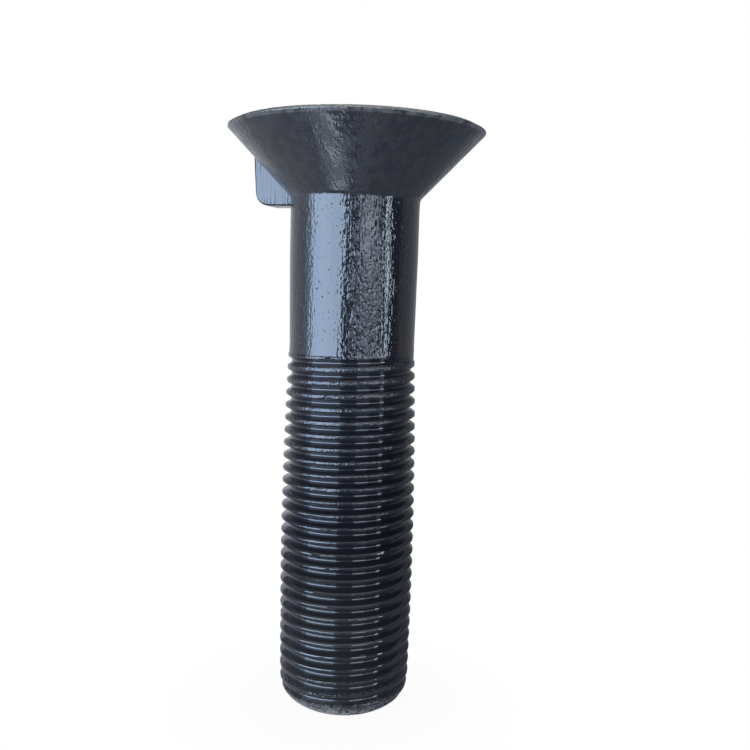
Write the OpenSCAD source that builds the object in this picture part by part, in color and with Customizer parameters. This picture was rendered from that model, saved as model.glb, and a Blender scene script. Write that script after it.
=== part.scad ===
// Countersunk nib bolt: one forged, thread-rolled piece of steel.
// It stands on its thread end with the head up. The nib under the head points along -X.

/* [Overall] */
// Length from the flat end of the thread to the flat top of the head
bolt_len = 68.8; // [62:0.1:100]

/* [Head] */
// Diameter over the rim of the head
head_d = 29.7; // [27:0.1:36]
// Height of the head, from its flat top down to the foot of the cone
head_h = 8.1; // [6.5:0.05:11]
// Height of the straight land round the rim
rim_land = 0.1; // [0.05:0.05:1]
// Height of the broken edge round the flat top
rim_break_h = 0.4; // [0.1:0.05:0.8]
// Width of the broken edge round the flat top
rim_break_w = 0.8; // [0.1:0.05:1.5]
// Radius of the fillet between the cone and the shank
neck_fillet = 0.9; // [0.4:0.1:2]

/* [Nib] */
// Distance from the bolt's axis to the foot of the nib's outer face
nib_reach = 11.6; // [10:0.1:12.5]
// Lean of the nib's outer face, in degrees, wider towards the head
nib_draft = 3.5; // [0:0.5:8]
// Width of the nib across its two side faces
nib_w = 3.8; // [2:0.1:6]
// How far the nib comes down below the foot of the cone
nib_drop = 1; // [0:0.05:3]
// Radius of the nib's lower outer corner
nib_corner = 1.6; // [0.3:0.1:2]

/* [Shank] */
// Diameter of the straight grip under the head
grip_d = 15.1; // [14.8:0.05:17]
// Length of the straight grip below the foot of the cone
grip_len = 7; // [3:0.5:10]
// Diameter that the shank tapers down to where the thread begins
blank_d = 14.76; // [14.5:0.02:15.3]

/* [Thread] */
// Diameter over the crests where they are fullest
thread_d = 15.94; // [15.6:0.02:17]
// Distance from one turn of the thread to the next
pitch = 1.5; // [1.25:0.05:2]
// Depth of the thread from its fullest crest to its root
thread_depth = 0.92; // [0.7:0.02:1]
// Length of the thread, from the end of the bolt to the shank
thread_len = 42.6; // [30:0.2:50]
// Width of the flat along the crest where it is fullest
crest_flat = 0.25; // [0.15:0.05:0.4]
// How much wider that flat gets for each mm that the crest falls short
crest_spread = 0.6; // [0:0.1:1]
// Width of the flat along the root
root_flat = 0.3; // [0.15:0.05:0.4]
// Height above the end at which the crests are fullest
full_crest_z = 20; // [12:0.5:28]
// How far the crests fall short, in radius, beside the shank
shank_fall = 0.5; // [0:0.01:0.55]
// How far the crests fall short, in radius, at the end of the bolt
end_fall = 0.27; // [0:0.01:0.45]
// Turn of the thread about the axis, in degrees
thread_turn = 83; // [0:1:359]

/* [End] */
// Diameter of the flat on the end of the bolt
end_flat_d = 8.6; // [7:0.2:12]
// Height of the rounding between the flat end and the thread
end_round_h = 4.7; // [2:0.1:6]
// Fullness of that rounding: 1 is a plain cone, more is rounder
end_fullness = 3.9; // [1:0.1:6]

/* [Hidden] */
// Head and shank
head_r = head_d / 2;
grip_r = grip_d / 2;
blank_r = blank_d / 2;
cone_foot_z = bolt_len - head_h;
cone_top_z = bolt_len - rim_break_h - rim_land;
grip_end_z = cone_foot_z - grip_len;
cone_half_angle = atan((head_r - grip_r) / (cone_top_z - cone_foot_z));
fillet_steps = 6;

// Nib
nib_foot_z = cone_foot_z - nib_drop;

// Thread
root_r = thread_d / 2 - thread_depth;
flank_h = (pitch - crest_flat - root_flat) / 2;

// The shank's foot slopes in like a thread flank and ends inside the thread's core
foot_r = root_r - thread_depth / 2;
foot_z = thread_len - (blank_r - foot_r) * flank_h / thread_depth;

// The last crest runs into the shank over one turn, then the thread's core ends inside the shank
run_out_h = pitch;
core_top_z = thread_len + run_out_h;
core_top_r = foot_r;

// Mesh of the thread: columns round the bolt, and rows that climb along the helix
columns = 32;
column_turn = 360 / columns;
row_is_crest = [true, false, false, true];
rows_per_turn = len(row_is_crest);
spare_turns = 2;
turns = ceil(core_top_z / pitch) + 2 * spare_turns;
row_count = turns * rows_per_turn;

// A row this close to either end of the thread's core joins that end's own ring of points
end_room = pitch / 6;

// Points of the hollow fillet from the grip up on to the cone
function neck_arc() =
    let (tangent_z = cone_foot_z - neck_fillet * tan(cone_half_angle / 2))
    [for (step = [0 : fillet_steps])
        let (angle = 180 - cone_half_angle * step / fillet_steps)
        [grip_r + neck_fillet + neck_fillet * cos(angle), tangent_z + neck_fillet * sin(angle)]];

// Points of the nib's rounded lower corner, from its foot round to its outer face
function nib_corner_arc() =
    let (centre_r = nib_reach + nib_corner * (tan(nib_draft) - 1 / cos(nib_draft)))
    [for (step = [0 : fillet_steps])
        let (angle = -90 + (90 - nib_draft) * step / fillet_steps)
        [centre_r + nib_corner * cos(angle), nib_foot_z + nib_corner + nib_corner * sin(angle)]];

// How far the crests fall short at a height: least in the middle, most at both ends
function crest_fall(z) =
    z > full_crest_z
        ? shank_fall * pow((z - full_crest_z) / (thread_len - full_crest_z), 2)
        : end_fall * pow((full_crest_z - z) / full_crest_z, 2);

// Half the width of the flat on the crest at a height: a crest that falls short is wider
function crest_half(z) = (crest_flat + crest_spread * crest_fall(z)) / 2;

// Radius of the rounded end at a height, from its flat up to the crests
function end_limit(z) =
    let (crest_r = thread_d / 2 - crest_fall(z), below = min(1, max(0, 1 - z / end_round_h)))
    end_flat_d / 2 + (crest_r - end_flat_d / 2) * (1 - pow(below, end_fullness));

// Radius that the last turn keeps within as it sinks into the shank
function run_out_limit(z) =
    let (crest_r = thread_d / 2 - shank_fall)
    crest_r - (crest_r - core_top_r) * (z - thread_len) / run_out_h;

// Radius of the thread on a crest row or a root row at a height
function thread_r(is_crest, z) =
    let (plain_r = is_crest ? thread_d / 2 - crest_fall(z) : root_r)
    min(plain_r, end_limit(z), run_out_limit(z));

function ring_point(column, r, z) =
    let (angle = thread_turn + column * column_turn)
    [r * cos(angle), r * sin(angle), z];

// Height of a mesh point: the rows of a turn go from one crest, over the root, to the next crest
function row_z(column, row) =
    let (
        low_crest_z = (floor(row / rows_per_turn) - spare_turns + column / columns) * pitch,
        high_crest_z = low_crest_z + pitch
    )
    [
        low_crest_z + crest_half(low_crest_z),
        low_crest_z + (pitch - root_flat) / 2,
        low_crest_z + (pitch + root_flat) / 2,
        high_crest_z - crest_half(high_crest_z)
    ][row % rows_per_turn];

// Index of a mesh point: past either end it is the point of that end's ring in the same column
function point_index(column, row) =
    column == columns
        ? point_index(0, row + rows_per_turn)
        : row >= row_count || row_z(column, row) > core_top_z - end_room
            ? columns + column
            : row_z(column, row) < end_room
                ? column
                : 2 * columns + row * columns + column;

function is_triangle(t) = t[0] != t[1] && t[1] != t[2] && t[2] != t[0];

// Head and shank, revolved from one profile
module forged_body() {
    rotate_extrude($fn = 96)
        polygon(concat(
            [[0, foot_z], [foot_r, foot_z], [blank_r, thread_len], [grip_r, grip_end_z]],
            neck_arc(),
            [
                [head_r, cone_top_z],
                [head_r, bolt_len - rim_break_h],
                [head_r - rim_break_w, bolt_len],
                [0, bolt_len]
            ]
        ));
}

// Side view of the nib, from inside the bolt to its leaning outer face
module nib_outline() {
    inner_r = foot_r / 2;
    lean = tan(nib_draft);
    // The outer face ends inside the head, midway from where it meets the cone to the rim
    meet_z = cone_foot_z + (nib_reach + nib_drop * lean - grip_r) / (tan(cone_half_angle) - lean);
    top_z = (meet_z + cone_top_z) / 2;
    polygon(concat(
        [[inner_r, nib_foot_z]],
        nib_corner_arc(),
        [[nib_reach + (top_z - nib_foot_z) * lean, top_z], [inner_r, top_z]]
    ));
}

module nib() {
    rotate([90, 0, 180])
        linear_extrude(nib_w, center = true)
            nib_outline();
}

// Right-hand thread, with its core, its rounded end and its run-out
module rolled_thread() {
    end_ring = [for (column = [0 : columns - 1]) ring_point(column, end_flat_d / 2, 0)];
    top_ring = [for (column = [0 : columns - 1]) ring_point(column, core_top_r, core_top_z)];
    rows = [
        for (row = [0 : row_count - 1], column = [0 : columns - 1])
            let (z = row_z(column, row))
            ring_point(column, thread_r(row_is_crest[row % rows_per_turn], z), z)
    ];
    walls = [
        for (row = [0 : row_count - 2], column = [0 : columns - 1])
            let (
                a = point_index(column, row),
                b = point_index(column + 1, row),
                c = point_index(column + 1, row + 1),
                d = point_index(column, row + 1)
            )
            for (t = [[a, d, c], [a, c, b]])
                if (is_triangle(t)) t
    ];
    end_face = [for (column = [0 : columns - 1]) column];
    top_face = [for (column = [columns - 1 : -1 : 0]) columns + column];
    polyhedron(concat(end_ring, top_ring, rows), concat(walls, [end_face, top_face]));
}

module nib_bolt() {
    color("#22252c") {
        forged_body();
        nib();
        rolled_thread();
    }
}

nib_bolt();
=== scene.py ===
"""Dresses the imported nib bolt: a black, thread-rolled countersunk bolt that stands on its end."""

import logging
import math
from dataclasses import dataclass, fields
from enum import Enum
from typing import Sequence, Union

import bmesh
import bpy
from mathutils import Matrix, Vector


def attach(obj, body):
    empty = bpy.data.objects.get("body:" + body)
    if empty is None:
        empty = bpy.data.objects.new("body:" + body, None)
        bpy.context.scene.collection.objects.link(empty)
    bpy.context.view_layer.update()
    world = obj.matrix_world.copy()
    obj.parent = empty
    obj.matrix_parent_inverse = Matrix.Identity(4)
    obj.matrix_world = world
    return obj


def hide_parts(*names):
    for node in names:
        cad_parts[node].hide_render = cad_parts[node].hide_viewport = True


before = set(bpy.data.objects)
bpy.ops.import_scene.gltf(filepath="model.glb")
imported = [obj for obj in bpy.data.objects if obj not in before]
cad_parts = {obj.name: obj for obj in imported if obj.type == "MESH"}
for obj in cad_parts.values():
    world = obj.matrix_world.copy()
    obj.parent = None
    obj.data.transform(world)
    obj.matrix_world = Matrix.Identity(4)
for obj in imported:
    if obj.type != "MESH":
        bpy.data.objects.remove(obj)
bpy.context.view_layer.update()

LOG = logging.getLogger("nib_bolt")
MM = 0.001
NODE_NAME = "nib_bolt"
SLOT_NAME = "black_steel"
PIECE_NAME = "nib_bolt_skin"

# Middle of the numbers that a noise gives
NOISE_MEAN = 0.5
# Added before a number is rounded down, so that a whole one stays whole
NUDGE = 1e-4
# Places of the share, the two colours and the result among the sockets of a colour mix
MIX_INPUTS = (0, 6, 7)
MIX_RESULT = 2

Triple = tuple[float, float, float]
Colour = Triple
Point = tuple[float, float]
Span = tuple[float, float]


class Flow:
    """A number that flows through a node tree: arithmetic on it adds math nodes."""

    def __init__(self, graph: "Graph", socket: bpy.types.NodeSocket) -> None:
        """Keeps the graph to add nodes to and the output that carries the number."""
        self.graph = graph
        self.socket = socket

    def _math(self, operation: str, *values: "Value") -> "Flow":
        """Adds one math node, with its operands in order."""
        node = self.graph.node("ShaderNodeMath", *values, operation=operation)
        return Flow(self.graph, node.outputs[0])

    def __add__(self, other: "Value") -> "Flow":
        """Sum."""
        return self._math("ADD", self, other)

    def __sub__(self, other: "Value") -> "Flow":
        """Difference."""
        return self._math("SUBTRACT", self, other)

    def __rsub__(self, other: "Value") -> "Flow":
        """Difference, with the plain number first."""
        return self._math("SUBTRACT", other, self)

    def __mul__(self, other: "Value") -> "Flow":
        """Product."""
        return self._math("MULTIPLY", self, other)

    __rmul__ = __mul__

    def __truediv__(self, other: "Value") -> "Flow":
        """Quotient."""
        return self._math("DIVIDE", self, other)

    def __rtruediv__(self, other: "Value") -> "Flow":
        """Quotient, with the plain number first."""
        return self._math("DIVIDE", other, self)

    def __pow__(self, other: "Value") -> "Flow":
        """Power."""
        return self._math("POWER", self, other)

    def at_least(self, other: "Value") -> "Flow":
        """The greater of the two."""
        return self._math("MAXIMUM", self, other)

    def at_most(self, other: "Value") -> "Flow":
        """The lesser of the two."""
        return self._math("MINIMUM", self, other)

    def softly_at_most(self, other: "Value", width: "Value") -> "Flow":
        """The lesser of the two, rounded over a width where they cross."""
        return self._math("SMOOTH_MIN", self, other, width)

    def within_one(self) -> "Flow":
        """The number kept between 0 and 1."""
        return self.at_least(0.0).at_most(1.0)

    def whole(self) -> "Flow":
        """The number rounded down."""
        return self._math("FLOOR", self)

    def root(self) -> "Flow":
        """Square root."""
        return self._math("SQRT", self)

    def sine(self) -> "Flow":
        """Sine of an angle in radians."""
        return self._math("SINE", self)

    def cosine(self) -> "Flow":
        """Cosine of an angle in radians."""
        return self._math("COSINE", self)

    def above(self, other: "Value") -> "Flow":
        """1 where this is greater than the other, else 0."""
        return self._math("GREATER_THAN", self, other)

    def pick(self, low: "Value", high: "Value") -> "Flow":
        """Goes from low to high as this goes from 0 to 1."""
        return self._math("MULTIPLY_ADD", self, self.graph.flow(high) - low, low)

    def step(self, start: "Value", end: "Value") -> "Flow":
        """A soft step from 0 at start to 1 at end."""
        node = self.graph.node("ShaderNodeMapRange", self, start, end, interpolation_type="SMOOTHSTEP")
        return Flow(self.graph, node.outputs[0])


Value = Union[float, Flow, bpy.types.NodeSocket]


class Graph:
    """Short calls that add nodes to a tree and link them."""

    def __init__(self, tree: bpy.types.NodeTree) -> None:
        """Keeps the tree that the calls add to."""
        self.tree = tree

    def node(self, kind: str, *values: object, **settings: object) -> bpy.types.Node:
        """Adds a node.

        Args:
            kind: Blender's name of the node's type.
            values: what its first inputs get, in order.
            settings: values of the node's own properties.

        Returns:
            The new node.
        """
        node = self.tree.nodes.new(kind)
        for name, value in settings.items():
            setattr(node, name, value)
        for socket, value in zip(node.inputs, values):
            self.feed(socket, value)
        return node

    def feed(self, socket: bpy.types.NodeSocket, value: object) -> None:
        """Links an output to an input, or sets the input to a plain value.

        Args:
            socket: the input.
            value: a flow, an output or a plain value.
        """
        if isinstance(value, Flow):
            value = value.socket
        if isinstance(value, bpy.types.NodeSocket):
            self.tree.links.new(value, socket)
        else:
            socket.default_value = value

    def flow(self, value: Value) -> Flow:
        """Wraps an output or a plain number.

        Args:
            value: a flow, an output or a plain number.

        Returns:
            A flow, which is the value itself if it already is one.
        """
        if isinstance(value, Flow):
            return value
        if isinstance(value, bpy.types.NodeSocket):
            return Flow(self, value)
        node = self.node("ShaderNodeValue")
        node.outputs[0].default_value = value
        return Flow(self, node.outputs[0])

    def vector(self, x: Value, y: Value, z: Value) -> bpy.types.NodeSocket:
        """Joins three numbers into a vector."""
        return self.node("ShaderNodeCombineXYZ", x, y, z).outputs[0]

    def split(self, vector: bpy.types.NodeSocket) -> tuple[Flow, Flow, Flow]:
        """Splits a vector into its three numbers."""
        x, y, z = (Flow(self, output) for output in self.node("ShaderNodeSeparateXYZ", vector).outputs)
        return x, y, z

    def stretched(self, vector: bpy.types.NodeSocket, scale: Triple) -> bpy.types.NodeSocket:
        """Multiplies a vector by a factor for each axis."""
        return self.node("ShaderNodeVectorMath", vector, scale, operation="MULTIPLY").outputs[0]


@dataclass(frozen=True)
class Noise:
    """A smooth noise in space: its grains to a unit of each axis, its finer layers and their strength."""

    grains: Triple
    detail: float
    roughness: float

    def read(self, graph: Graph, place: bpy.types.NodeSocket, seed: Value) -> Flow:
        """Adds the nodes that read the noise.

        Args:
            graph: the tree to add to.
            place: where to read it.
            seed: which noise of the family it is.

        Returns:
            A number about NOISE_MEAN, mostly within 0.2 of it.
        """
        scale = 1.0
        inputs = (graph.stretched(place, self.grains), seed, scale, self.detail, self.roughness)
        node = graph.node("ShaderNodeTexNoise", *inputs, noise_dimensions="4D")
        return Flow(graph, node.outputs[0])


def placed(name: str, data: bpy.types.ID) -> bpy.types.Object:
    """Makes an object and puts it in the scene.

    Args:
        name: the object's name.
        data: its mesh, lamp or camera.

    Returns:
        The new object.
    """
    thing = bpy.data.objects.new(name, data)
    bpy.context.scene.collection.objects.link(thing)
    return thing


def joined_runs(corners: Sequence[Point], longest: float) -> list[Point]:
    """Cuts the straight runs between corners into steps.

    Args:
        corners: points of a profile, in mm.
        longest: the longest step, in mm.

    Returns:
        The corners with the points between them.
    """
    points = [corners[0]]
    for start, end in zip(corners, corners[1:]):
        steps = max(1, math.ceil(math.dist(start, end) / longest))
        for step in range(1, steps + 1):
            share = step / steps
            points.append(tuple(a + (b - a) * share for a, b in zip(start, end)))
    return points


def arc(centre: Point, radius: float, start: float, end: float, steps: int) -> list[Point]:
    """Points on an arc.

    Args:
        centre: the arc's centre.
        radius: its radius.
        start: its first angle, in degrees.
        end: its last angle, in degrees.
        steps: how many steps it is cut into.

    Returns:
        The points from first to last.
    """
    points = []
    for step in range(steps + 1):
        angle = math.radians(start + (end - start) * step / steps)
        points.append((centre[0] + radius * math.cos(angle), centre[1] + radius * math.sin(angle)))
    return points


@dataclass(frozen=True)
class ForgedBlank:
    """Head, cone and shank, revolved from one profile. Sizes in mm."""

    length: float = 68.8
    head_radius: float = 14.85
    head_height: float = 8.1
    rim_land: float = 0.1
    rim_break_height: float = 0.4
    rim_break_width: float = 0.8
    neck_fillet: float = 0.9
    grip_radius: float = 7.55
    grip_length: float = 7.0
    blank_radius: float = 7.38
    foot_radius: float = 6.59
    thread_length: float = 42.6
    foot_slope: float = 0.5
    columns: int = 192
    neck_steps: int = 8
    shank_step: float = 0.4
    cone_step: float = 0.8
    rim_step: float = 0.2
    top_step: float = 3.2

    @property
    def cone_foot(self) -> float:
        """Height of the foot of the cone."""
        return self.length - self.head_height

    @property
    def cone_top(self) -> float:
        """Height of the cone's upper edge."""
        return self.length - self.rim_break_height - self.rim_land

    @property
    def half_angle(self) -> float:
        """Angle between the cone and the axis, in degrees."""
        widening = self.head_radius - self.grip_radius
        return math.degrees(math.atan2(widening, self.cone_top - self.cone_foot))

    def neck(self) -> list[Point]:
        """Draws the hollow fillet between the grip and the cone.

        Returns:
            Its points, from the grip up on to the cone.
        """
        tangent = self.neck_fillet * math.tan(math.radians(self.half_angle / 2))
        centre = (self.grip_radius + self.neck_fillet, self.cone_foot - tangent)
        return arc(centre, self.neck_fillet, 180.0, 180.0 - self.half_angle, self.neck_steps)

    def profile(self) -> list[Point]:
        """Draws half of the blank's section.

        Returns:
            Radius and height from the centre of the foot up to the centre of the flat top.
        """
        neck = self.neck()
        foot_height = self.thread_length - (self.blank_radius - self.foot_radius) * self.foot_slope
        shank_corners = [
            (self.foot_radius, foot_height),
            (self.blank_radius, self.thread_length),
            (self.grip_radius, self.cone_foot - self.grip_length),
            neck[0],
        ]
        shank = joined_runs(shank_corners, self.shank_step)
        cone = joined_runs([neck[-1], (self.head_radius, self.cone_top)], self.cone_step)
        rim_foot = (self.head_radius, self.length - self.rim_break_height)
        rim_top = (self.head_radius - self.rim_break_width, self.length)
        rim = joined_runs([rim_foot, rim_top], self.rim_step)
        top = joined_runs([rim_top, (0.0, self.length)], self.top_step)
        return [(0.0, foot_height)] + shank + neck[1:-1] + cone + rim + top[1:]

    def mesh(self) -> bpy.types.Mesh:
        """Revolves the profile into a closed mesh.

        Returns:
            A mesh in mm, with faces that point outwards.
        """
        points = self.profile()
        turned = bmesh.new()
        poles = [turned.verts.new((0.0, 0.0, points[end][1])) for end in (0, -1)]
        rings = []
        for radius, height in points[1:-1]:
            ring = []
            for column in range(self.columns):
                angle = math.tau * column / self.columns
                x, y = radius * math.cos(angle), radius * math.sin(angle)
                ring.append(turned.verts.new((x, y, height)))
            rings.append(ring)
        for column in range(self.columns):
            after = (column + 1) % self.columns
            turned.faces.new((poles[0], rings[0][after], rings[0][column]))
            turned.faces.new((poles[1], rings[-1][column], rings[-1][after]))
            for low, high in zip(rings, rings[1:]):
                turned.faces.new((low[column], low[after], high[after], high[column]))
        mesh = bpy.data.meshes.new("forged_blank")
        turned.to_mesh(mesh)
        turned.free()
        return mesh


@dataclass(frozen=True)
class Nib:
    """The key under the head that stops the bolt from turning; it points along -X. Sizes in mm."""

    reach: float = 11.6
    draft: float = 3.5
    width: float = 3.8
    foot: float = 59.7
    top: float = 66.5
    corner: float = 1.6
    inner_radius: float = 4.0
    corner_steps: int = 10
    edge_round: float = 0.22
    edge_steps: int = 3
    edge_profile: float = 0.5

    def outline(self) -> list[Point]:
        """Draws the nib's side view.

        Returns:
            Radius and height from inside the bolt, round the lower outer corner, up the leaning face.
        """
        lean = math.tan(math.radians(self.draft))
        centre_radius = self.reach + self.corner * (lean - 1 / math.cos(math.radians(self.draft)))
        centre = (centre_radius, self.foot + self.corner)
        rounded = arc(centre, self.corner, -90.0, -self.draft, self.corner_steps)
        outer_top = (self.reach + (self.top - self.foot) * lean, self.top)
        return [(self.inner_radius, self.foot)] + rounded + [outer_top, (self.inner_radius, self.top)]

    def mesh(self) -> bpy.types.Mesh:
        """Builds the nib as a closed block with rounded outer edges.

        Returns:
            A mesh in mm, with faces that point outwards.
        """
        block = bmesh.new()
        outline = self.outline()
        near, far = (
            [block.verts.new((-radius, y, height)) for radius, height in outline]
            for y in (-self.width / 2, self.width / 2)
        )
        flanks = [block.faces.new(near), block.faces.new(list(reversed(far)))]
        for index in range(len(near)):
            after = (index + 1) % len(near)
            block.faces.new((near[after], near[index], far[index], far[after]))
        bmesh.ops.recalc_face_normals(block, faces=block.faces)
        rims = [edge for edge in block.edges if any(face in flanks for face in edge.link_faces)]
        bmesh.ops.bevel(
            block,
            geom=rims,
            offset=self.edge_round,
            segments=self.edge_steps,
            profile=self.edge_profile,
            affect="EDGES",
        )
        mesh = bpy.data.meshes.new("nib")
        block.to_mesh(mesh)
        block.free()
        return mesh


@dataclass(frozen=True)
class RolledThread:
    """Right-hand thread with its core, its rounded end and its run-out. Sizes in mm, degrees and turns."""

    length: float = 42.6
    pitch: float = 1.5
    crest_radius: float = 7.97
    depth: float = 0.92
    crest_flat: float = 0.22
    crest_spread: float = 0.6
    root_flat: float = 0.3
    crest_round: float = 0.07
    full_crest_height: float = 20.0
    shank_fall: float = 0.5
    end_fall: float = 0.27
    turn: float = 83.0
    end_flat_radius: float = 4.3
    end_round_height: float = 4.7
    end_fullness: float = 3.9
    run_out: float = 1.5
    core_top_radius: float = 6.59
    last_groove_fades: float = 27.66
    last_groove_ends: float = 27.77
    filled_radius: float = 7.36
    crest_wear: float = 0.07
    wear_reach: float = 0.3
    wear_edge: float = 0.12
    wear_begins: float = 14.0
    wear_full: float = 34.0
    dent_depth: float = 0.11
    crowding: float = 0.5
    merge_distance: float = 0.002
    columns: int = 144
    rows_per_turn: int = 14
    spare_turns: int = 2
    wear: Noise = Noise((8.0, 8.0, 1.6), 3.0, 0.6)
    wear_cut: Span = (0.45, 0.75)
    dents: Noise = Noise((4.0, 4.0, 0.7), 1.0, 0.4)
    dent_cut: Span = (0.62, 0.72)

    def sizes(self) -> dict[str, float]:
        """The sizes that become named inputs of the tree: all but the counts and the noises."""
        values = {item.name: getattr(self, item.name) for item in fields(self)}
        return {name: value for name, value in values.items() if isinstance(value, float)}

    @property
    def top(self) -> float:
        """Height at which the thread's core ends inside the shank."""
        return self.length + self.run_out

    @property
    def rows(self) -> int:
        """Rows of the mesh, spare turns included."""
        return (math.ceil(self.top / self.pitch) + 2 * self.spare_turns) * self.rows_per_turn

    def radius_at(self, size: dict[str, Flow], off_crest: Flow, height: Flow, dented: Flow) -> Flow:
        """Radius of the thread.

        Args:
            size: the tree's named inputs.
            off_crest: distance along the axis from the nearest crest's middle.
            height: height above the end.
            dented: how far the crest is flattened, from 0 to 1.

        Returns:
            The radius, before the core's two ends are closed.
        """
        full = size["full_crest_height"]
        above = (height - full) / (size["length"] - full)
        below = (full - height) / full
        fall = height.above(full).pick(size["end_fall"] * below * below, size["shank_fall"] * above * above)
        crest = size["crest_radius"] - fall

        half_pitch = size["pitch"] * 0.5
        half_crest = (size["crest_flat"] + size["crest_spread"] * fall) * 0.5
        half_root = size["root_flat"] * 0.5
        slope = (size["depth"] - fall) / (half_pitch - half_crest - half_root)
        flank = crest - (off_crest - half_crest) * slope
        long_side = (slope * slope + 1.0).root()
        cosine = slope / long_side
        sine = 1.0 / long_side
        root_arc = half_root / (cosine - (1.0 - sine) / slope)
        off_root = half_pitch - off_crest
        bottom = size["crest_radius"] - size["depth"] + root_arc
        hollow = bottom - (root_arc * root_arc - off_root * off_root).at_least(0.0).root()
        groove = (root_arc * cosine).above(off_root).pick(flank, hollow)

        low = (1.0 - height / size["end_round_height"]).within_one()
        flat = size["end_flat_radius"]
        end = flat + (crest - flat) * (1.0 - low ** size["end_fullness"])
        last = size["crest_radius"] - size["shank_fall"]
        sunk = (height - size["length"]) / size["run_out"]
        run_out = last - (last - size["core_top_radius"]) * sunk
        flattened = crest - dented * size["dent_depth"]
        return groove.softly_at_most(flattened, size["crest_round"]).at_most(end).at_most(run_out)

    def geometry(self, graph: Graph, size: dict[str, Flow], seed: Value) -> bpy.types.NodeSocket:
        """Adds the nodes that lay a grid along the helix and close it into a solid.

        Args:
            graph: the tree to add to.
            size: the tree's named inputs.
            seed: which noise wears the crests.

        Returns:
            The thread's mesh, in mm.
        """
        grid = graph.node("GeometryNodeMeshGrid")
        grid.inputs["Vertices X"].default_value = self.columns + 1
        grid.inputs["Vertices Y"].default_value = self.rows + 1
        index = graph.flow(graph.node("GeometryNodeInputIndex").outputs[0])
        column = (index / (self.rows + 1.0) + NUDGE).whole()
        row = index - column * (self.rows + 1.0)
        turn_share = column / float(self.columns)
        turns = row / float(self.rows_per_turn) + NUDGE
        whole_turns = turns.whole()
        share = turns - whole_turns

        # The rows of a turn crowd at its two crests and at the root between them
        two_waves = 2 * math.tau
        crowded = share - size["crowding"] * (share * two_waves).sine() / two_waves
        turns_up = whole_turns + turn_share - float(self.spare_turns)
        climb = (turns_up + crowded) * size["pitch"]
        off_crest = crowded.at_most(1.0 - crowded) * size["pitch"]
        top = size["length"] + size["run_out"]
        height = climb.at_least(0.0).at_most(top)
        angle = turn_share * math.tau + size["turn"] * math.radians(1.0)
        cosine = angle.cosine()
        sine = angle.sine()

        dented = self.dents.read(graph, graph.vector(cosine, sine, climb), seed + 1.0).step(*self.dent_cut)
        radius = self.radius_at(size, off_crest, height, dented)
        worn = self.wear.read(graph, graph.vector(cosine, sine, height), seed).step(*self.wear_cut)
        worn = worn * (size["wear_reach"] - off_crest).step(0.0, size["wear_edge"])
        worn = worn * height.step(size["wear_begins"], size["wear_full"])
        radius = radius - worn * size["crest_wear"]
        filled = turns_up.step(size["last_groove_fades"], size["last_groove_ends"])
        radius = radius + filled * (size["filled_radius"] - radius).at_least(0.0)

        # Past either end the rows run in to the axis, which closes the core
        closed_low = (climb / size["pitch"] + 1.0).within_one()
        closed_high = ((top - climb) / size["pitch"] + 1.0).within_one()
        radius = radius * closed_low * closed_high

        laid = graph.node("GeometryNodeSetPosition", grid.outputs["Mesh"])
        graph.feed(laid.inputs["Position"], graph.vector(radius * cosine, radius * sine, height))
        merged = graph.node("GeometryNodeMergeByDistance", laid.outputs["Geometry"])
        graph.feed(merged.inputs["Distance"], size["merge_distance"])
        return merged.outputs["Geometry"]


@dataclass(frozen=True)
class Unevenness:
    """How far forging leaves each zone short of its true form. Sizes in mm."""

    shank_wave: float = 0.08
    shank_low: float = 43.0
    shank_high: float = 60.2
    cone_wave: float = 0.03
    zone_edge: float = 1.0
    rim_wear: float = 0.07
    rim_low: float = 67.9
    rim_inner: float = 13.8
    rim_edge: float = 0.2
    wave: Noise = Noise((0.22, 0.22, 0.088), 2.0, 0.45)
    nicks: Noise = Noise((1.3, 1.3, 1.3), 3.0, 0.6)
    nick_cut: Span = (0.5, 0.75)

    def offset(self, graph: Graph, place: bpy.types.NodeSocket, seed: Value) -> Flow:
        """How far the surface moves outwards, which is never above 0.

        Args:
            graph: the tree to add to.
            place: position in mm.
            seed: which noise it is.

        Returns:
            The move along the surface's normal, in mm.
        """
        x, y, height = graph.split(place)
        around = (x * x + y * y).root()
        shank = height.step(self.shank_low, self.shank_low + self.zone_edge)
        shank = shank * (1.0 - height.step(self.shank_high - self.zone_edge, self.shank_high))
        above_cone = height.step(self.rim_low, self.rim_low + self.rim_edge)
        cone = height.step(self.shank_high, self.shank_high + self.zone_edge) * (1.0 - above_cone)
        rim = above_cone * around.step(self.rim_inner, self.rim_inner + self.rim_edge)
        wave = self.wave.read(graph, place, seed) * (shank * self.shank_wave + cone * self.cone_wave)
        nicks = self.nicks.read(graph, place, seed).step(*self.nick_cut)
        return -1.0 * (wave + rim * nicks * self.rim_wear)


class Zone(Enum):
    """Lowest and highest place, in mm, of the soft step into each zone of the finish."""

    END = (0.8, 3.2)
    SCUFFED_END = (3.5, 8.0)
    # Where the lighter tone of the lower thread gives way to the oxide above
    DUSTY = (4.0, 26.0)
    SHANK = (42.4, 42.7)
    CALM = (50.0, 57.0)
    HEAD = (60.2, 60.9)
    RIM = (67.95, 68.1)
    RIM_RADIUS = (13.9, 14.1)
    NIB_RADIUS = (7.3, 7.6)
    NIB_SIDE = (1.92, 1.98)
    NIB_TOP = (65.2, 65.5)
    CREST_RADIUS = (7.3, 7.45)
    ROUGH_CREST = (16.0, 34.0)

    def share(self, place: Flow) -> Flow:
        """How far a place is past the step, from 0 to 1."""
        return place.step(*self.value)


@dataclass(frozen=True)
class Reading:
    """What the finish reads at each point of the steel: shares of zones and marks, and noises."""

    height: Flow
    shank: Flow
    nib: Flow
    cone: Flow
    rim: Flow
    end: Flow
    crest: Flow
    rubbed: Flow
    patch: Flow
    pits: Flow
    worn: Flow
    mottle: Flow
    fine: Flow
    streaks: Flow
    flecks: Flow
    grain: Flow


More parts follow.
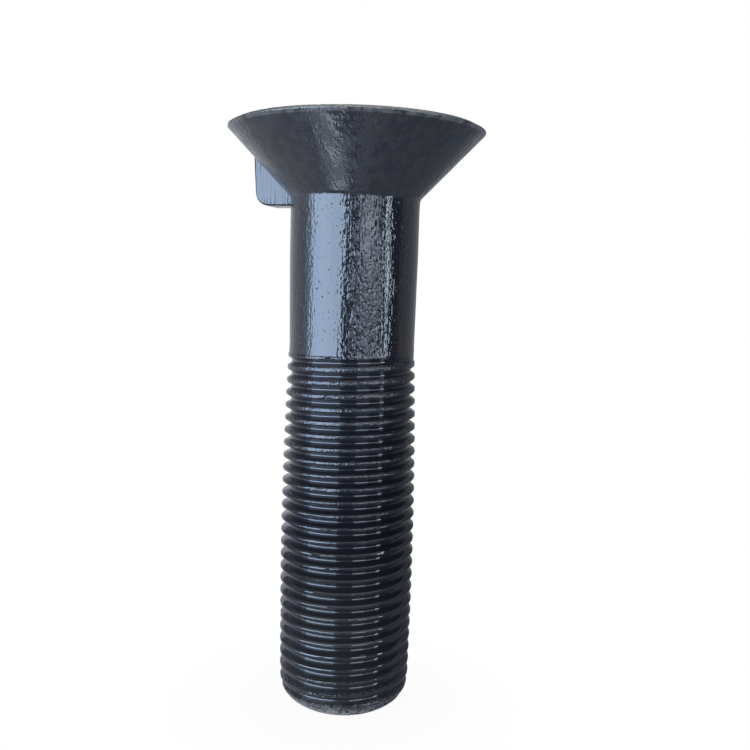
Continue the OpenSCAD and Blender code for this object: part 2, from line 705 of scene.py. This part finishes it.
@dataclass(frozen=True)
class BlackSteel:
    """Glossy blue-black oxide on steel: pitted on the shank, satin on the cone, worn at the rim and end."""

    oxide: Colour = (0.01, 0.012, 0.019)
    slate: Colour = (0.021, 0.0245, 0.033)
    # A lighter colour that the thread has from its end up to 4 mm, fading into the oxide by 26 mm
    dust: Colour = (0.021, 0.024, 0.031)
    bare: Colour = (0.165, 0.185, 0.208)
    slate_least: float = 0.45
    rim_bare: float = 0.42

    # Roughness of the plain oxide, the cone and worn steel, and what the marks add to it
    ior: float = 1.54
    oxide_rough: float = 0.07
    cone_rough: float = 0.15
    worn_rough: float = 0.36
    rubbed_adds: float = 0.08
    pits_add: float = 0.25
    patch_adds: float = 0.24
    mottle_adds: float = 0.16

    # Relief in mm, and shares of it: what the rim keeps, calm places lose and the fine noise adds
    streak_depth: float = 0.03
    nib_streak_depth: float = 0.09
    crumb_depth: float = 0.045
    patch_depth: float = 0.15
    spot_depth: float = 0.0375
    satin_depth: float = 0.016
    blotch_depth: float = 0.05
    crest_depth: float = 0.08
    rim_keeps: float = 0.5
    calm_loses: float = 0.55
    fine_adds: float = 0.4

    # The pitted patch along the shank: degrees round the axis, and how far its edge frays
    patch_turn: float = 295.0
    patch_half: float = 17.0
    patch_core_half: float = 10.2
    patch_fray: float = 0.08
    rubbed_cut: Span = (0.85, 0.95)

    # Noises, and where each is cut into marks
    seed: float = 4.0
    mottle: Noise = Noise((0.9, 0.9, 0.5), 4.0, 0.6)
    fine: Noise = Noise((3.0, 3.0, 2.2), 1.0, 0.4)
    streaks: Noise = Noise((4.2, 4.2, 0.13), 1.0, 0.4)
    spots: Noise = Noise((3.0, 3.0, 2.4), 2.0, 0.5)
    flecks: Noise = Noise((1.9, 1.9, 1.3), 1.5, 0.45)
    grain: Noise = Noise((4.6, 4.6, 4.6), 1.5, 0.45)
    spot_cut: Span = (0.66, 0.74)
    end_cut: Span = (0.4, 0.55)
    rim_cut: Span = (0.3, 0.65)
    slate_cut: Span = (0.3, 0.7)
    satin_cut: Span = (0.42, 0.58)
    patch_cut: Span = (0.46, 0.56)

    def mixed(self, graph: Graph, share: Flow, low: object, high: object) -> bpy.types.NodeSocket:
        """Mixes two colours.

        Args:
            graph: the material's tree.
            share: 0 for the first colour, 1 for the second.
            low: the first colour, plain or as an output.
            high: the second colour, plain or as an output.

        Returns:
            The mixed colour.
        """
        node = graph.node("ShaderNodeMix", data_type="RGBA")
        for index, value in zip(MIX_INPUTS, (share, low, high)):
            plain = isinstance(value, tuple)
            graph.feed(node.inputs[index], (*value, 1.0) if plain else value)
        return node.outputs[MIX_RESULT]

    def reading(self, graph: Graph) -> Reading:
        """Adds the nodes that tell zones and marks apart, on Object coordinates.

        Args:
            graph: the material's tree.

        Returns:
            What each point of the steel reads.
        """
        coordinates = graph.node("ShaderNodeTexCoord").outputs["Object"]
        place = graph.stretched(coordinates, (1 / MM, 1 / MM, 1 / MM))
        x, y, z = graph.split(place)
        around = (x * x + y * y).root()
        noises = (self.mottle, self.fine, self.streaks, self.spots, self.flecks, self.grain)
        mottle, fine, streaks, spots, flecks, grain = (
            noise.read(graph, place, self.seed + number) for number, noise in enumerate(noises)
        )

        above_thread = Zone.SHANK.share(z)
        above_neck = Zone.HEAD.share(z)
        shank = above_thread * (1.0 - above_neck)
        beside_nib = Zone.NIB_SIDE.share((y * y).root())
        nib = Zone.NIB_RADIUS.share(-1.0 * x) * (1.0 - beside_nib) * (1.0 - Zone.NIB_TOP.share(z))
        rim = Zone.RIM.share(z) * Zone.RIM_RADIUS.share(around)
        end = 1.0 - Zone.END.share(z)
        scuffed = 1.0 - Zone.SCUFFED_END.share(z)
        crest = Zone.CREST_RADIUS.share(around) * (Zone.ROUGH_CREST.share(z) + scuffed)

        turn = math.radians(self.patch_turn)
        facing = (x * math.cos(turn) + y * math.sin(turn)) / around
        frayed = facing + (mottle - NOISE_MEAN) * self.patch_fray
        patch_edge = math.cos(math.radians(self.patch_half))
        patch_core = math.cos(math.radians(self.patch_core_half))
        return Reading(
            height=z,
            shank=shank,
            nib=nib,
            cone=above_neck * (1.0 - nib),
            rim=rim,
            end=end,
            crest=crest * (1.0 - above_thread),
            rubbed=facing.step(*self.rubbed_cut),
            patch=frayed.step(patch_edge, patch_core) * shank,
            pits=spots.step(*self.spot_cut) * shank,
            worn=flecks.step(*self.end_cut) * end + mottle.step(*self.rim_cut) * rim * self.rim_bare,
            mottle=mottle,
            fine=fine,
            streaks=streaks,
            flecks=flecks,
            grain=grain,
        )

    def colour(self, graph: Graph, at: Reading) -> bpy.types.NodeSocket:
        """Colours the oxide, a lighter tone towards the thread's end, the slate cone, and the bare steel
        where it is worn.

        Args:
            graph: the material's tree.
            at: what each point reads.

        Returns:
            The colour.
        """
        # Lighter towards the end of the thread, plain oxide higher up
        coloured = self.mixed(graph, Zone.DUSTY.share(at.height), self.dust, self.oxide)
        slated = at.cone * at.mottle.step(*self.slate_cut).pick(self.slate_least, 1.0)
        coloured = self.mixed(graph, slated, coloured, self.slate)
        return self.mixed(graph, at.worn, coloured, self.bare)

    def roughness(self, at: Reading) -> Flow:
        """Dulls the gloss on the cone, on worn steel and at the marks.

        Args:
            at: what each point reads.

        Returns:
            The roughness.
        """
        rough = at.worn.pick(at.cone.pick(self.oxide_rough, self.cone_rough), self.worn_rough)
        rough = rough + at.crest * at.rubbed * self.rubbed_adds
        rough = rough + at.pits * self.pits_add
        rough = rough + at.patch * at.flecks.step(*self.patch_cut) * self.patch_adds
        return rough + at.cone * at.mottle.step(*self.satin_cut) * self.mottle_adds

    def relief(self, at: Reading) -> Flow:
        """Adds up streaks, crumbs, pits, the cone's grain and the scuffs of the crests.

        Args:
            at: what each point reads.

        Returns:
            The height of the relief, in mm.
        """
        streaked = at.shank * self.streak_depth + at.nib * self.nib_streak_depth
        relief = (at.streaks - NOISE_MEAN) * streaked
        relief = relief + (at.fine - NOISE_MEAN) * at.shank * self.crumb_depth
        calm = 1.0 - Zone.CALM.share(at.height) * self.calm_loses
        pitted = at.patch * calm + at.end + at.rim * self.rim_keeps
        lumps = at.flecks + at.fine * self.fine_adds - NOISE_MEAN * (1.0 + self.fine_adds)
        relief = relief + pitted * lumps * self.patch_depth
        relief = relief - at.pits * self.spot_depth
        relief = relief + (at.grain - NOISE_MEAN) * at.cone * self.satin_depth
        relief = relief + (at.flecks - NOISE_MEAN) * at.cone * self.blotch_depth
        return relief + (at.fine + at.grain - 2 * NOISE_MEAN) * at.crest * self.crest_depth

    def material(self) -> bpy.types.Material:
        """Builds the material.

        Returns:
            The finished material.
        """
        material = bpy.data.materials.new(SLOT_NAME)
        material.use_nodes = True
        graph = Graph(material.node_tree)
        shader = material.node_tree.nodes["Principled BSDF"]
        at = self.reading(graph)
        graph.feed(shader.inputs["Base Color"], self.colour(graph, at))
        graph.feed(shader.inputs["Roughness"], self.roughness(at))
        shader.inputs["IOR"].default_value = self.ior
        bump = graph.node("ShaderNodeBump")
        bump.inputs["Distance"].default_value = MM
        graph.feed(bump.inputs["Height"], self.relief(at))
        graph.feed(shader.inputs["Normal"], bump.outputs[0])
        return material


@dataclass(frozen=True)
class NibBolt:
    """The whole bolt: the forged blank, its nib and the rolled thread, joined into one mesh."""

    blank: ForgedBlank = ForgedBlank()
    nib: Nib = Nib()
    thread: RolledThread = RolledThread()
    unevenness: Unevenness = Unevenness()
    finish: BlackSteel = BlackSteel()
    seed: float = 7.0
    sharp_angle: float = 38.0

    def tree(
        self, nib: bpy.types.Object, material: bpy.types.Material
    ) -> tuple[bpy.types.NodeTree, dict[str, object]]:
        """Builds the tree that rolls the thread and joins it with the blank and the nib.

        Args:
            nib: the nib's block.
            material: the finish of the joined mesh.

        Returns:
            The tree, and the value of each input by its socket's identifier.
        """
        tree = bpy.data.node_groups.new("rolled_nib_bolt", "GeometryNodeTree")
        graph = Graph(tree)
        for side in ("INPUT", "OUTPUT"):
            tree.interface.new_socket("Geometry", in_out=side, socket_type="NodeSocketGeometry")
        nib_input = tree.interface.new_socket("Nib", in_out="INPUT", socket_type="NodeSocketObject")
        values: dict[str, object] = {nib_input.identifier: nib}
        labels = {}
        for name, value in {**self.thread.sizes(), "seed": self.seed}.items():
            labels[name] = name.replace("_", " ").capitalize()
            socket = tree.interface.new_socket(labels[name], in_out="INPUT", socket_type="NodeSocketFloat")
            values[socket.identifier] = value
        start = graph.node("NodeGroupInput")
        size = {name: graph.flow(start.outputs[label]) for name, label in labels.items()}
        seed = size.pop("seed")

        block = graph.node("GeometryNodeObjectInfo", start.outputs["Nib"])
        thread = self.thread.geometry(graph, size, seed)
        union = graph.node("GeometryNodeMeshBoolean", operation="UNION", solver="MANIFOLD")
        for part in (start.outputs["Geometry"], block.outputs["Geometry"], thread):
            graph.feed(union.inputs["Mesh 2"], part)
        uneven = self.uneven(graph, union.outputs["Mesh"], seed)
        graph.node("NodeGroupOutput", self.dressed(graph, uneven, material))
        return tree, values

    def uneven(self, graph: Graph, geometry: bpy.types.NodeSocket, seed: Value) -> bpy.types.NodeSocket:
        """Moves the joined surface along its normals, as forging leaves it.

        Args:
            graph: the tree to add to.
            geometry: the true form, in mm.
            seed: which noise moves it.

        Returns:
            The uneven form, in mm.
        """
        place = graph.node("GeometryNodeInputPosition").outputs[0]
        normal = graph.node("GeometryNodeInputNormal").outputs[0]
        push = graph.node("ShaderNodeVectorMath", normal, operation="SCALE")
        graph.feed(push.inputs["Scale"], self.unevenness.offset(graph, place, seed))
        moved = graph.node("GeometryNodeSetPosition", geometry)
        graph.feed(moved.inputs["Offset"], push.outputs[0])
        return moved.outputs["Geometry"]

    def dressed(
        self, graph: Graph, geometry: bpy.types.NodeSocket, material: bpy.types.Material
    ) -> bpy.types.NodeSocket:
        """Brings the form to metres, shades it smooth between its sharp edges and gives it its finish.

        Args:
            graph: the tree to add to.
            geometry: the form, in mm.
            material: the finish.

        Returns:
            The dressed form, in metres.
        """
        scaled = graph.node("GeometryNodeTransform", geometry)
        scaled.inputs["Scale"].default_value = (MM, MM, MM)
        smooth = graph.node("GeometryNodeSetShadeSmooth", scaled.outputs["Geometry"]).outputs[0]
        angle = graph.flow(graph.node("GeometryNodeInputMeshEdgeAngle").outputs[0])
        sharp = graph.node("GeometryNodeStoreNamedAttribute", smooth, data_type="BOOLEAN", domain="EDGE")
        sharp.inputs["Name"].default_value = "sharp_edge"
        graph.feed(sharp.inputs["Value"], angle.above(math.radians(self.sharp_angle)))
        realized = graph.node("GeometryNodeRealizeInstances", sharp.outputs["Geometry"])
        painted = graph.node("GeometryNodeSetMaterial", realized.outputs["Geometry"])
        painted.inputs["Material"].default_value = material
        return painted.outputs["Geometry"]

    def build(self) -> bpy.types.Object:
        """Builds the bolt, dresses it and puts it in the CAD node's place.

        Returns:
            The finished piece.
        """
        nib = placed("nib_block", self.nib.mesh())
        rough = placed("rough_bolt", self.blank.mesh())
        tree, values = self.tree(nib, self.finish.material())
        modifier = rough.modifiers.new("roll", "NODES")
        modifier.node_group = tree
        for identifier, value in values.items():
            modifier[identifier] = value
        graph = bpy.context.evaluated_depsgraph_get()
        mesh = bpy.data.meshes.new_from_object(rough.evaluated_get(graph), depsgraph=graph)
        for helper in (nib, rough):
            bpy.data.objects.remove(helper)
        mesh.name = PIECE_NAME
        piece = placed(PIECE_NAME, mesh)
        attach(piece, "root")
        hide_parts(NODE_NAME)
        return piece


# Shades that more than one card or slope has
DIM_SHADE: Colour = (0.16, 0.18, 0.22)
GAP_SHADE: Colour = (0.15, 0.17, 0.22)
NEAR_KEY_SHADE: Colour = (5.65, 7.3, 9.9)
HIGH_SHADE: Colour = (0.3, 0.32, 0.36)
# Heights, in mm, at which several cards begin or end
CARD_FOOT = -110.0
GAP_FOLD = 45.0
CARD_TOP = 200.0
TALL_TOP = 300.0
HIGH_TOP = 700.0


@dataclass(frozen=True)
class Softbox:
    """A flat soft lamp that faces the bolt. Angles in degrees, sizes in mm."""

    name: str
    turn: float
    distance: float
    width: float
    low: float
    high: float
    radiance: float


@dataclass(frozen=True)
class Card:
    """A curved wall out of the camera's sight that the steel mirrors. Angles in degrees, heights in mm.

    The lean is how much further to the right its top ends than its foot.
    """

    name: str
    start: float
    end: float
    low: float
    top: float
    shade: Colour
    lean: float = 0.0


@dataclass(frozen=True)
class Ground:
    """A sector of the ground far below the bolt, and of the slope up from it, that the steel mirrors.

    Angles in degrees.
    """

    name: str
    start: float
    end: float
    shade: Colour
    slope_shade: Colour = DIM_SHADE


@dataclass(frozen=True)
class Studio:
    """Camera, lamps, cards, floor and world. Lengths in mm, angles in degrees."""

    azimuth: float = 14.5
    distance: float = 107.4
    eye_height: float = 50.82
    aim_right: float = 2.84
    aim_height: float = 40.14
    roll: float = 1.58
    lens: float = 43.54
    near_clip: float = 10.0
    arc_steps: int = 60
    card_distance: float = 420.0
    ground_reach: float = 170.0
    ground_low: float = -280.0
    ring_distance: float = 440.0
    ring_low: float = CARD_FOOT
    ring_high: float = 320.0
    ring_shade: Colour = DIM_SHADE
    floor_half: float = 2000.0
    floor_colour: Colour = (0.8, 0.8, 0.8)
    floor_roughness: float = 0.9
    floor_fade: Span = (3.0, 26.0)
    floor_share: float = 0.05
    ambient: float = 0.3
    softboxes: tuple[Softbox, ...] = (
        Softbox("key_softbox", -52.0, 260.0, 344.0, -60.0, 200.0, 3.0),
        Softbox("fill_softbox", 22.0, 300.0, 150.0, -60.0, 200.0, 1.0),
    )
    cards: tuple[Card, ...] = (
        Card("left_card", -180.0, -92.0, -100.0, 130.0, (0.68, 0.71, 0.77)),
        Card("edge_card", -92.0, -80.0, CARD_FOOT, CARD_TOP, (1.5, 1.95, 2.7)),
        Card("side_card", -80.0, -68.0, CARD_FOOT, CARD_TOP, (5.4, 7.1, 9.7)),
        Card("key_card", -68.0, -40.0, CARD_FOOT, CARD_TOP, (6.1, 8.0, 11.0)),
        Card("near_key_card", -40.0, -20.0, CARD_FOOT, CARD_TOP, NEAR_KEY_SHADE),
        Card("gap_card", -20.0, 11.0, CARD_FOOT, GAP_FOLD, GAP_SHADE),
        Card("gap_top_card", -9.0, 11.0, GAP_FOLD, CARD_TOP, GAP_SHADE),
        Card("wide_key_card", -20.5, -20.0, GAP_FOLD, 135.0, NEAR_KEY_SHADE, lean=11.0),
        Card("fill_foot_card", 11.0, 35.0, CARD_FOOT, -8.0, (1.05, 1.2, 1.45)),
        Card("fill_card", 11.0, 35.0, -8.0, TALL_TOP, (3.9, 4.5, 5.4)),
        Card("dim_card", 35.0, 57.0, CARD_FOOT, 125.0, (0.2, 0.23, 0.29)),
        Card("dim_top_card", 35.0, 57.0, 125.0, TALL_TOP, (2.6, 3.0, 3.6)),
        Card("line_card", 57.0, 65.0, -45.0, CARD_TOP, (7.0, 8.1, 9.8)),
        Card("right_card", 65.0, 90.0, CARD_FOOT, TALL_TOP, (0.05, 0.055, 0.08)),
        Card("far_card", 90.0, 180.0, -40.0, 110.0, (0.32, 0.33, 0.36)),
        Card("high_left_card", -165.0, -92.0, TALL_TOP, HIGH_TOP, HIGH_SHADE),
        Card("high_right_card", 65.0, 165.0, TALL_TOP, HIGH_TOP, HIGH_SHADE),
    )
    grounds: tuple[Ground, ...] = (
        Ground("left_ground", -180.0, -84.0, (0.5, 0.52, 0.56), (0.42, 0.44, 0.48)),
        Ground("edge_ground", -84.0, -67.0, (1.0, 1.12, 1.32)),
        Ground("key_ground", -67.0, -50.0, (4.9, 5.5, 6.7)),
        Ground("gap_ground", -50.0, 11.0, (0.1, 0.11, 0.13)),
        Ground("fill_ground", 11.0, 38.0, (0.7, 0.76, 0.87)),
        Ground("right_ground", 38.0, 180.0, (0.17, 0.18, 0.21)),
    )

    def heading(self, turn: float) -> Vector:
        """Level direction from the bolt, turned to the camera's right by an angle."""
        angle = math.radians(self.azimuth + turn)
        return Vector((math.sin(angle), -math.cos(angle), 0.0))

    def add_camera(self) -> None:
        """Puts the camera at the photograph's viewpoint."""
        lens = bpy.data.cameras.new("camera")
        lens.lens = self.lens
        lens.clip_start = self.near_clip * MM
        camera = placed("camera", lens)
        eye = self.heading(0.0) * self.distance + Vector((0.0, 0.0, self.eye_height))
        aim = self.heading(90.0) * self.aim_right + Vector((0.0, 0.0, self.aim_height))
        camera.location = eye * MM
        facing = (aim - eye).to_track_quat("-Z", "Y").to_matrix().to_4x4()
        turned = facing @ Matrix.Rotation(math.radians(self.roll), 4, "Z")
        camera.rotation_euler = turned.to_euler()
        bpy.context.scene.camera = camera

    def add_softbox(self, box: Softbox) -> None:
        """Adds one lamp, at a power that gives its radiance.

        Args:
            box: the lamp.
        """
        lamp = bpy.data.lights.new(box.name, "AREA")
        lamp.shape = "RECTANGLE"
        lamp.size = box.width * MM
        lamp.size_y = (box.high - box.low) * MM
        lamp.energy = math.pi * lamp.size * lamp.size_y * box.radiance
        thing = placed(box.name, lamp)
        inward = -self.heading(box.turn)
        middle = Vector((0.0, 0.0, (box.low + box.high) / 2))
        thing.location = (middle - inward * box.distance) * MM
        thing.rotation_euler = inward.to_track_quat("-Z", "Y").to_euler()
        thing.visible_camera = False
        thing.visible_glossy = False

    def add_mirrored(
        self, name: str, points: list[Vector], faces: list[tuple[int, ...]], shade: Colour
    ) -> None:
        """Adds a glowing sheet that only mirrored rays meet.

        Args:
            name: the sheet's name.
            points: its corners, in mm.
            faces: its faces, as indices of corners.
            shade: what is seen of it in a mirror.
        """
        mesh = bpy.data.meshes.new(name)
        mesh.from_pydata([point * MM for point in points], [], faces)
        material = bpy.data.materials.new(name)
        material.use_nodes = True
        graph = Graph(material.node_tree)
        glow = graph.node("ShaderNodeEmission", (*shade, 1.0))
        graph.feed(material.node_tree.nodes["Material Output"].inputs["Surface"], glow.outputs[0])
        mesh.materials.append(material)
        thing = placed(name, mesh)
        thing.visible_camera = False
        thing.visible_diffuse = False
        thing.visible_shadow = False

    def arc_points(self, start: float, end: float, radius: float, height: float) -> list[Vector]:
        """Draws a level arc round the bolt.

        Args:
            start: the angle it starts at.
            end: the angle it ends at.
            radius: its distance from the axis.
            height: its height.

        Returns:
            Points in equal steps along it.
        """
        steps = self.arc_steps
        turns = [start + (end - start) * step / steps for step in range(steps + 1)]
        return [self.heading(turn) * radius + Vector((0.0, 0.0, height)) for turn in turns]

    def add_wall(self, name: str, foot: list[Vector], head: list[Vector], shade: Colour) -> None:
        """Adds a mirrored wall between two arcs that have as many points.

        Args:
            name: the wall's name.
            foot: points of the one arc.
            head: points of the other arc.
            shade: what is seen of it in a mirror.
        """
        count = len(foot)
        faces = [(i, i + 1, i + count + 1, i + count) for i in range(count - 1)]
        self.add_mirrored(name, foot + head, faces, shade)

    def add_card(self, card: Card) -> None:
        """Adds one card as a curved wall.

        Args:
            card: the card.
        """
        foot = self.arc_points(card.start, card.end, self.card_distance, card.low)
        head = self.arc_points(card.start, card.end + card.lean, self.card_distance, card.top)
        self.add_wall(card.name, foot, head, card.shade)

    def add_ground(self, ground: Ground) -> None:
        """Adds one sector of the ground as a fan, with the slope from its edge to the ring's foot.

        Args:
            ground: the sector.
        """
        middle = Vector((0.0, 0.0, self.ground_low))
        edge = self.arc_points(ground.start, ground.end, self.ground_reach, self.ground_low)
        fan = [(0, i, i + 1) for i in range(1, len(edge))]
        self.add_mirrored(ground.name, [middle] + edge, fan, ground.shade)
        foot = self.arc_points(ground.start, ground.end, self.ring_distance, self.ring_low)
        self.add_wall(f"{ground.name}_slope", edge, foot, ground.slope_shade)

    def add_ring(self) -> None:
        """Adds the dim ring behind the cards."""
        foot = self.arc_points(-180.0, 180.0, self.ring_distance, self.ring_low)
        head = self.arc_points(-180.0, 180.0, self.ring_distance, self.ring_high)
        self.add_wall("ring", foot, head, self.ring_shade)

    def add_floor(self) -> None:
        """Adds the white floor, which takes the shadow near the bolt and fades into the background."""
        half = self.floor_half * MM
        corners = [(-half, -half, 0.0), (half, -half, 0.0), (half, half, 0.0), (-half, half, 0.0)]
        mesh = bpy.data.meshes.new("floor")
        mesh.from_pydata(corners, [], [(0, 1, 2, 3)])
        material = bpy.data.materials.new("floor")
        material.use_nodes = True
        graph = Graph(material.node_tree)
        shader = material.node_tree.nodes["Principled BSDF"]
        shader.inputs["Base Color"].default_value = (*self.floor_colour, 1.0)
        shader.inputs["Roughness"].default_value = self.floor_roughness
        white = graph.node("ShaderNodeEmission")
        x, y, _ = graph.split(graph.node("ShaderNodeTexCoord").outputs["Object"])
        away = (x * x + y * y).root() / MM
        share = away.step(*self.floor_fade).pick(1.0 - self.floor_share, 1.0)
        mixed = graph.node("ShaderNodeMixShader", share, shader.outputs[0], white.outputs[0])
        graph.feed(material.node_tree.nodes["Material Output"].inputs["Surface"], mixed.outputs[0])
        mesh.materials.append(material)
        floor = placed("floor", mesh)
        floor.visible_glossy = False
        floor.visible_shadow = False

    def add_world(self) -> None:
        """Lights the scene softly from all round, and shows white to the eye and in mirrors."""
        world = bpy.data.worlds.new("studio")
        bpy.context.scene.world = world
        world.use_nodes = True
        graph = Graph(world.node_tree)
        rays = graph.node("ShaderNodeLightPath")
        seen = graph.flow(rays.outputs["Is Camera Ray"]).at_least(rays.outputs["Is Glossy Ray"])
        seen = seen.at_least(rays.outputs["Is Transmission Ray"])
        background = world.node_tree.nodes["Background"]
        background.inputs["Color"].default_value = (1.0, 1.0, 1.0, 1.0)
        graph.feed(background.inputs["Strength"], seen.pick(self.ambient, 1.0))

    def build(self) -> None:
        """Builds the whole studio."""
        self.add_camera()
        self.add_world()
        self.add_floor()
        for box in self.softboxes:
            self.add_softbox(box)
        for card in self.cards:
            self.add_card(card)
        for ground in self.grounds:
            self.add_ground(ground)
        self.add_ring()
        bpy.context.scene.view_settings.view_transform = "Standard"


def main() -> None:
    """Builds the studio and the bolt, and reports the piece."""
    logging.basicConfig(level=logging.INFO, format="%(name)s: %(message)s")
    Studio().build()
    piece = NibBolt().build()
    piece.data.calc_loop_triangles()
    LOG.info("%s: %d triangles", piece.name, len(piece.data.loop_triangles))


if __name__ == "__main__":
    main()
